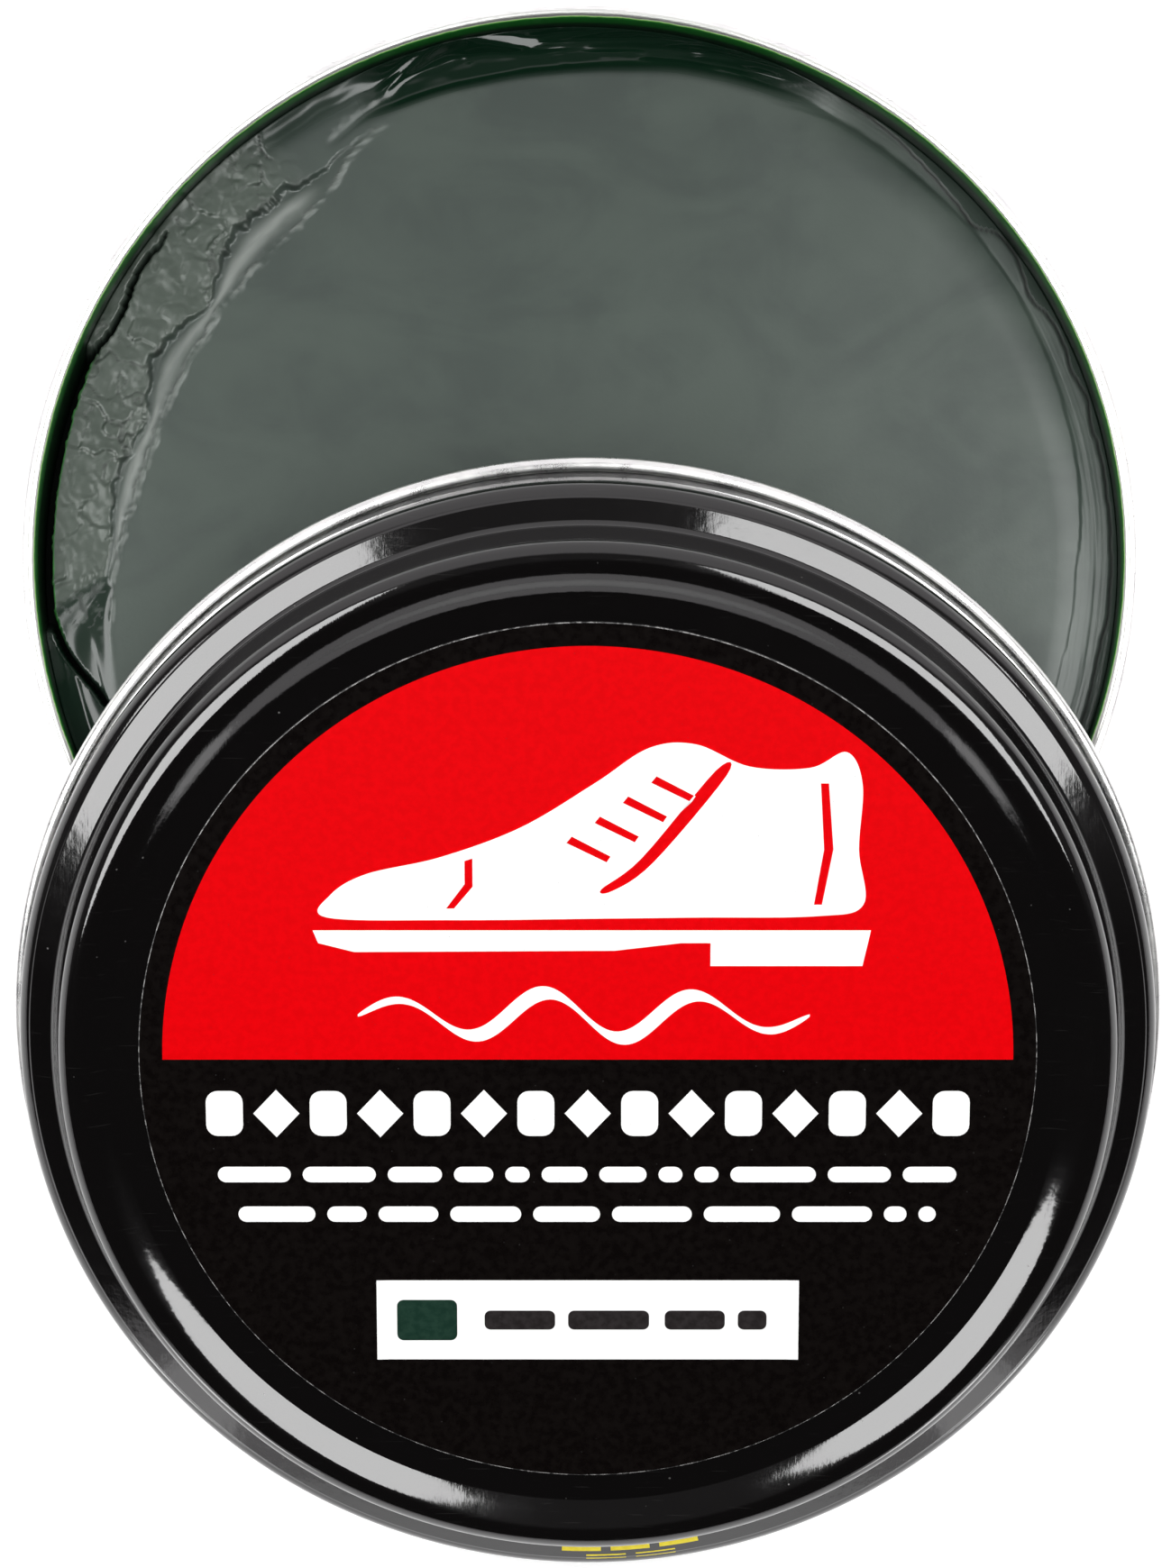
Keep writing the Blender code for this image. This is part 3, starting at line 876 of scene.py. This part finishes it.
def outline_piece(name, outlines, low, high, material, middle=(0.0, 0.0)):
    """A flat printed shape from closed outlines of (x, y) in mm; an outline inside another is a hole."""
    curve = bpy.data.curves.new(name, "CURVE")
    curve.dimensions = "2D"
    curve.fill_mode = "BOTH"
    curve.extrude = (high - low) / 2.0
    for outline in outlines:
        spline = curve.splines.new("POLY")
        spline.points.add(len(outline) - 1)
        for point, (x, y) in zip(spline.points, outline):
            point.co = (x * MM, y * MM, 0.0, 1.0)
        spline.use_cyclic_u = True
    source = bpy.data.objects.new(name + "_curve", curve)
    bpy.context.scene.collection.objects.link(source)
    mesh = bpy.data.meshes.new_from_object(source.evaluated_get(bpy.context.evaluated_depsgraph_get()))
    bpy.data.objects.remove(source)
    mesh.name = name
    mesh.materials.clear()
    mesh.materials.append(material)
    bm = bmesh.new()
    bm.from_mesh(mesh)
    bmesh.ops.remove_doubles(bm, verts=bm.verts, dist=1e-7)
    bm.to_mesh(mesh)
    bm.free()
    piece = bpy.data.objects.new(name, mesh)
    lift = Matrix.Translation((middle[0] * MM, middle[1] * MM, (low + high) / 2.0))
    place(piece, LID @ lift)
    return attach(piece, "lid")


def smooth_outline(points, per_span=10):
    """A closed smooth outline through a few points (Catmull-Rom)."""
    pts = np.array(points, float)
    n = len(pts)
    found = []
    for i in range(n):
        p0, p1, p2, p3 = pts[i - 1], pts[i], pts[(i + 1) % n], pts[(i + 2) % n]
        for t in np.linspace(0.0, 1.0, per_span, endpoint=False):
            found.append(tuple(0.5 * (2 * p1 + (p2 - p0) * t + (2 * p0 - 5 * p1 + 4 * p2 - p3) * t ** 2
                                      + (3 * p1 - p0 - 3 * p2 + p3) * t ** 3)))
    return found


def pill(x, y, width, height, roundness=1.0):
    """A bar with rounded ends, its middle at (x, y)."""
    r = height / 2.0 * roundness
    dx, dy = width / 2 - r, height / 2 - r
    found = []
    for side_x, side_y, start in ((1, 1, 0), (-1, 1, 90), (-1, -1, 180), (1, -1, 270)):
        for a in np.radians(np.linspace(start, start + 90, 6)):
            found.append((x + side_x * dx + r * math.cos(a), y + side_y * dy + r * math.sin(a)))
    return found


def diamond(x, y, width, height):
    return [(x + width / 2, y), (x, y + height / 2), (x - width / 2, y), (x, y - height / 2)]


def dash_row(y, left, right, seed, height=1.25, gap=0.9):
    """Plain dashes of uneven length, where a real label would carry small print."""
    found = []
    x = left
    for length in np.random.default_rng(seed).uniform(1.6, 6.5, 40):
        if x + length > right - 1.5:
            length = right - x
        found.append(pill(x + length / 2, y, length, height))
        x += length + gap
        if x >= right - 0.5:
            break
    return found


def shoe_outlines():
    """A plain laced shoe from the side, facing left: upper, sole with heel, and gaps for laces and cap."""
    upper = [
        (-19.5, 11.2), (-19.2, 13.0), (-16.5, 14.6), (-11.0, 15.9), (-5.0, 18.2), (0.5, 21.6),
        (4.5, 24.3), (8.0, 24.6), (12.0, 22.9), (16.5, 22.8), (19.2, 24.0), (20.4, 21.5),
        (20.2, 16.5), (20.6, 12.2), (17.0, 11.3), (8.0, 11.2), (0.0, 11.1), (-10.0, 11.0),
    ]
    sole = [
        (-20.6, 10.2), (-20.2, 9.2), (-17.5, 8.5), (2.0, 8.6), (7.0, 9.2), (9.2, 9.2), (9.2, 7.4),
        (20.6, 7.4), (21.2, 10.2),
    ]
    return smooth_outline(upper), sole


def shoe_gaps():
    """Gaps cut in the shoe's upper: the toe cap's seam, the facing and three laces."""
    cap = [(-10.6, 11.9), (-10.0, 11.9), (-8.6, 13.6), (-8.6, 15.8), (-9.2, 15.6), (-9.2, 13.8)]
    facing = [(9.5, 22.6), (4.0, 15.8), (1.0, 13.4), (1.9, 13.3), (4.9, 15.5), (10.3, 22.2)]
    laces = []
    for k in range(4):
        x, y = -1.6 + 2.1 * k, 17.0 + 1.55 * k
        laces.append([(x, y), (x + 3.0, y - 1.5), (x + 3.3, y - 1.05), (x + 0.4, y + 0.5)])
    back = [(16.9, 12.2), (17.5, 12.2), (18.3, 16.5), (17.9, 21.6), (17.3, 21.6), (17.6, 16.5)]
    return [cap, smooth_outline(facing, 6), back] + laces


def wave_outline(y, left, right, height, waves, thick):
    """A flourish: a wavy stroke that swells in its middle and tapers at both ends."""
    t = np.linspace(0.0, 1.0, 121)
    x = left + (right - left) * t
    mid = y + height * 0.5 * np.sin(t * waves * math.tau) * (0.55 + 0.45 * np.sin(math.pi * t))
    half = 0.5 * thick * (0.12 + np.sin(math.pi * t) ** 0.6 * (0.6 + 0.4 * np.cos(t * waves * math.tau)))
    return list(zip(x, mid + half)) + list(zip(x[::-1], (mid - half)[::-1]))


def build_print(red, white):
    """Generic graphics: a red half disc, a plain shoe, a flourish, a band of shapes and rows of dashes."""
    base = LABEL_HIGH - 0.004 * MM
    half_r = 32.09
    half_disc = [(half_r * math.cos(a), half_r * math.sin(a)) for a in np.linspace(0.0, math.pi, 181)]
    top = LABEL_HIGH + INK
    outline_piece("print_half_disc", [half_disc], base, top, red)
    over = top - 0.004 * MM
    upper, sole = shoe_outlines()
    flourish = wave_outline(3.5, -17.3, 16.7, 3.6, 3.0, 1.5)
    band = []
    for k, x in enumerate(np.linspace(-27.5, 27.5, 15)):
        band.append(diamond(x, -4.3, 3.5, 3.8) if k % 2 else pill(x, -4.3, 2.8, 3.6, 0.5))
    for name, outlines, low, high in (
        ("print_shoe_upper", [upper] + shoe_gaps(), over, over + INK),
        ("print_shoe_sole", [sole], over, over + INK),
        ("print_flourish", [flourish], over, over + INK),
        ("print_band", band, base, top),
        ("print_dashes_upper", dash_row(-9.2, -28.1, 28.0, 5), base, top),
        ("print_dashes_lower", dash_row(-12.4, -26.6, 26.5, 9), base, top),
    ):
        outline_piece(name, outlines, low, high, white)


def build_sticker(material, dark, shade):
    """The shade sticker: thin paper, lying slightly wavy, with a colour patch and dashes."""
    low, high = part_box("shade_sticker")
    middle = LID.inverted() @ ((low + high) / 2.0)
    width, depth = high.x - low.x, 6.46 * MM
    columns, rows = 64, 14
    xs = np.linspace(-width / 2, width / 2, columns + 1)
    gx, gy = np.meshgrid(xs, np.linspace(-depth / 2, depth / 2, rows + 1), indexing="ij")
    bottom = LABEL_HIGH + 0.006 * MM
    wavy = 0.010 * MM * (1.0 + fractal(gx / (5.0 * MM), gy / (3.0 * MM), 7, 2))
    curl = 0.05 * MM * (step(0.93, 1.0, np.abs(gx) / (width / 2)) * step(0.6, 1.0, np.abs(gy) / (depth / 2)))
    top = bottom + 0.085 * MM + wavy + curl
    under = bottom + 0.8 * curl
    n = rows + 1
    size = (columns + 1) * n
    points = [p for z in (top, under) for p in zip(gx.ravel(), gy.ravel(), z.ravel())]
    faces = []
    for i in range(columns):
        for j in range(rows):
            a, b, c, d = i * n + j, (i + 1) * n + j, (i + 1) * n + j + 1, i * n + j + 1
            faces.append((a, b, c, d))
            faces.append((size + d, size + c, size + b, size + a))
    border = [i * n for i in range(columns)] + [columns * n + j for j in range(rows)]
    border += [i * n + rows for i in range(columns, 0, -1)] + list(range(rows, 0, -1))
    for a, b in zip(border, border[1:] + border[:1]):
        faces.append((a, size + a, size + b, b))
    spot = LID @ Matrix.Translation((middle.x, middle.y, 0.0))
    sticker = mesh_piece("sticker", points, faces, [material], sharp=30.0, matrix=spot)
    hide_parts("shade_sticker")
    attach(sticker, "lid")
    print_low = bottom + 0.085 * MM
    print_high = bottom + 0.115 * MM
    at = (middle.x / MM, middle.y / MM)
    patch = pill(-12.3, 0.0, 4.6, 3.3, 0.3)
    outline_piece("print_shade_patch", [patch], print_low, print_high, shade, middle=at)
    dashes = [pill(x, 0.0, w, 1.55, 0.6) for x, w in ((-5.2, 5.4), (1.6, 6.2), (8.2, 4.6), (12.6, 2.2))]
    outline_piece("print_shade_dashes", dashes, print_low, print_high, dark, middle=at)


def build_open_mark(material):
    """The yellow opening mark printed over the ledge and shoulder: two rows of plain dashes."""
    line = np.array(lid_lines() + [(SKIRT_R, LACQUER_LOW)])
    lengths = np.concatenate([[0.0], np.cumsum(np.linalg.norm(np.diff(line, axis=0), axis=1))])
    start = lengths[np.argmin(np.abs(line[:, 0] - LEDGE_IN_R) + np.abs(line[:, 1] - LEDGE_IN_Z))] + 0.4 * MM
    middle_turn = math.radians(4.6)

    def on_lid(across, down, lift):
        """A point on the lid's surface: across in mm round the edge, down in mm from the ledge's foot."""
        s = start + down * MM
        (r, next_r), (z, next_z) = (np.interp((s, s + 0.05 * MM), lengths, line[:, k]) for k in (0, 1))
        dr, dz = next_r - r, next_z - z
        scale = lift / math.hypot(dr, dz)
        r, z = r - dz * scale, z + dr * scale
        turn = middle_turn + across * MM / SKIRT_R
        return (r * math.sin(turn), -r * math.cos(turn), z)

    points, faces = [], []

    def dash(left, right, down, half=0.26, pieces=8):
        """A bent bar of print between two places across the mark."""
        first = len(points)
        for x in np.linspace(left, right, pieces + 1):
            for lift in (INK, -INK):
                points.append(on_lid(x, down - half, lift))
                points.append(on_lid(x, down + half, lift))
        for i in range(pieces):
            a, b = first + 4 * i, first + 4 * (i + 1)
            faces.extend([(a, a + 1, b + 1, b), (a + 2, b + 2, b + 3, a + 3)])
            faces.extend([(a, b, b + 2, a + 2), (a + 1, a + 3, b + 3, b + 1)])
        last = first + 4 * pieces
        faces.extend([(first, first + 2, first + 3, first + 1), (last, last + 1, last + 3, last + 2)])

    for down, dashes in ((0.24, ((-5.6, -2.4), (-1.6, 1.6), (2.4, 5.6))), (1.16, ((-3.6, -0.4), (0.4, 3.6)))):
        for left, right in dashes:
            dash(left, right, down)
    mark = mesh_piece("print_open_mark", points, faces, [material], sharp=30.0, matrix=LID)
    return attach(mark, "lid")


# ---------------- stage, lights, camera
def build_floor():
    bpy.ops.mesh.primitive_plane_add(size=3.0, location=(0.0, 0.0, 0.0))
    floor = bpy.context.active_object
    floor.name = "floor"
    floor.data.materials.append(floor_material())


def panel(name, place, size, radiance, fill=False, tip=0.0, turn=0.0):
    """A rectangular light of even brightness: it faces down, tips forward, then turns about the vertical.

    A fill lights the colours only; the others show only in what is glossy.
    """
    light = bpy.data.lights.new(name, "AREA")
    light.shape = "RECTANGLE"
    light.size, light.size_y = size
    light.energy = radiance * math.pi * size[0] * size[1]
    lamp = bpy.data.objects.new(name, light)
    lamp.location = place
    lamp.rotation_euler = (math.radians(tip), 0.0, math.radians(turn))
    lamp.visible_glossy = not fill
    lamp.visible_diffuse = fill
    lamp.visible_camera = False
    bpy.context.scene.collection.objects.link(lamp)
    return lamp


def build_world():
    """Studio surroundings: white along the horizon, light on the far side, dark overhead."""
    world = bpy.data.worlds.new("studio")
    bpy.context.scene.world = world
    world.use_nodes = True
    tree = world.node_tree
    source = tree.nodes.new("ShaderNodeTexCoord")
    at = split(tree, source.outputs["Generated"])
    overhead = spread(tree, at[1], -0.40, -0.10, 0.04, 0.14)
    far_side = spread(tree, at[1], 0.30, 0.50, 0.0, 0.95)
    horizon = spread(tree, at[2], 0.145, 0.105)
    above = add(tree, overhead, far_side)
    feed(tree, tree.nodes["Background"].inputs["Strength"], blend_value(tree, horizon, above, 1.05))
    tree.nodes["Background"].inputs["Color"].default_value = (1.0, 0.97, 0.99, 1.0)


def build_lights():
    """Two soft boxes beside the lens, a wide fill, and two low strips that gleam on the lid's shoulder."""
    height = 0.35
    for name, inner, outer, near, far, turn in (("softbox_left", -0.34, -1.32, -0.58, 0.24, 8.0),
                                                ("softbox_right", 0.20, 1.15, -0.40, 0.24, -4.0)):
        middle = ((inner + outer) / 2.0 * height, (near + far) / 2.0 * height, height)
        panel(name, middle, (abs(outer - inner) * height, (far - near) * height), 9.0, turn=turn)
    azimuth = 30.0
    for name, side in (("strip_left", -1.0), ("strip_right", 1.0)):
        turn = math.radians(azimuth)
        away = Vector((side * math.sin(turn), -math.cos(turn), 0.0))
        foot = Vector((side * 0.031, -0.064, 0.0))
        upright = foot + away * 0.50 + Vector((0.0, 0.0, 0.07))
        flat = foot + away * 0.27 + Vector((0.0, 0.0, 0.001))
        panel(name + "_up", upright, (0.065, 0.14), 1.1, tip=90.0, turn=side * azimuth)
        panel(name + "_flat", flat, (0.045, 0.42), 6.0, tip=180.0, turn=side * azimuth)
    panel("top_fill", (0.0, -0.12, 0.85), (1.3, 1.1), 2.7, fill=True)
    build_world()


def build_camera():
    """A long lens, almost straight down, leaning 5.4 degrees from the vertical towards the near side."""
    distance = 350.0 * MM
    elevation = math.radians(84.6)
    aim = Vector((0.48 * MM, -18.1 * MM, CAN_HEIGHT))
    back = Vector((0.0, -math.cos(elevation), math.sin(elevation)))
    data = bpy.data.cameras.new("camera")
    data.sensor_width = 36.0
    data.lens = 105.0
    data.clip_start = 0.01
    data.clip_end = 10.0
    camera = bpy.data.objects.new("camera", data)
    camera.location = aim + back * distance
    camera.rotation_mode = "QUATERNION"
    camera.rotation_quaternion = (-back).to_track_quat("-Z", "Y")
    bpy.context.scene.collection.objects.link(camera)
    bpy.context.scene.camera = camera


def main():
    # Painted highlight and painted shade: the can's rolled rim gets a lighter tone of the tinplate, its outer
    # wall a darker one.
    rim = tinplate("rim_tinplate_painted_highlight", 0.0, -0.12, 0.15)
    build_can(rim, tinplate("wall_tinplate_painted_shade", 0.0, 0.6), stained_tinplate())
    build_wax(wax())
    build_lid(lacquer("black_lacquer"), tinplate("curl_tinplate", 0.4), tinplate("lid_inside", 0.0, 0.5),
              lacquer("matt_lacquer", 0.12, 0.30))
    white = ink("print_white", (0.84, 0.84, 0.83), (0.90, 0.90, 0.89), 0.30)
    black = ink("label_black", (0.0024, 0.0017, 0.0016), (0.0042, 0.0032, 0.0029), 0.16, 0.08)
    build_label(black, painted_edge_highlight())
    build_print(ink("print_red", (0.62, 0.0003, 0.0018), (0.68, 0.0004, 0.0026), 0.18, 0.03), white)
    build_sticker(paper(), ink("print_dark", (0.014, 0.012, 0.012), (0.024, 0.021, 0.021)),
                  ink("print_shade", (0.008, 0.026, 0.017), (0.013, 0.036, 0.024)))
    build_open_mark(ink("print_yellow", (0.78, 0.62, 0.03), (0.86, 0.72, 0.05), 0.35))
    build_floor()
    build_lights()
    build_camera()
    bpy.context.scene.view_settings.view_transform = "Standard"


main()
